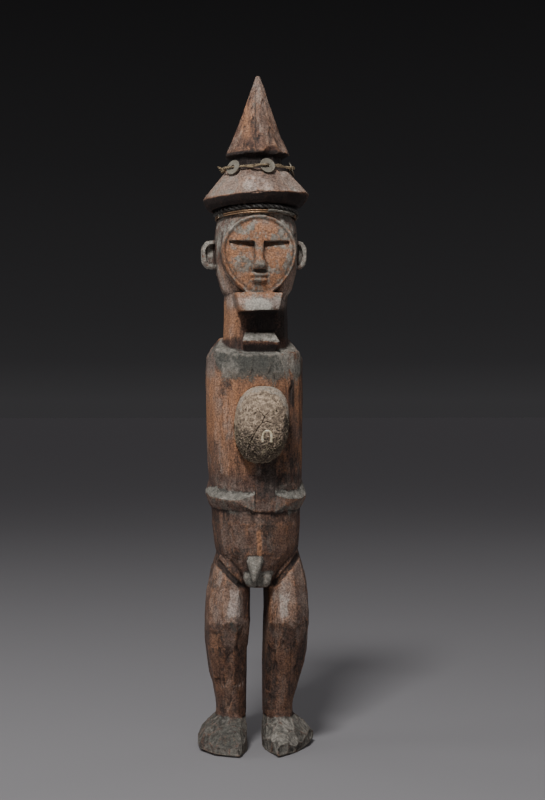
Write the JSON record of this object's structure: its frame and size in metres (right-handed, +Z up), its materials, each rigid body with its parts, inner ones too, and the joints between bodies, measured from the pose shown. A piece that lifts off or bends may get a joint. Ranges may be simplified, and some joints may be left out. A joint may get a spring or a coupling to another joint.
{
  "type": "carved wooden figure",
  "caption": "Standing carved wooden male figure in a conical two-stage hat, with a resin lump in the chest, arms in relief meeting on the belly, and cords and discs tied round the hat.",
  "frame": {"origin": "on the ground, under the middle of the bounding box", "axes": "+Z up through the hat, -Y the way the figure looks, +X towards the viewer's right when facing it"},
  "size_m": [0.124, 0.1304, 0.701],
  "materials": {
    "carved_wood": "satin",
    "resin_earth": "matte",
    "shell": "satin",
    "fibre_cord": "matte",
    "copper_alloy": "satin",
    "dark_cord": "matte",
    "wire": "satin"
  },
  "bodies": {
    "root": {"figure": "carved_wood", "chest_charge": "resin_earth", "charge_shell": "shell", "hat_cord": "fibre_cord", "coin_left": "copper_alloy", "coin_front": "copper_alloy", "coin_right": "copper_alloy", "head_cord": "dark_cord", "head_wire": "wire"}
  },
  "joints": []
}
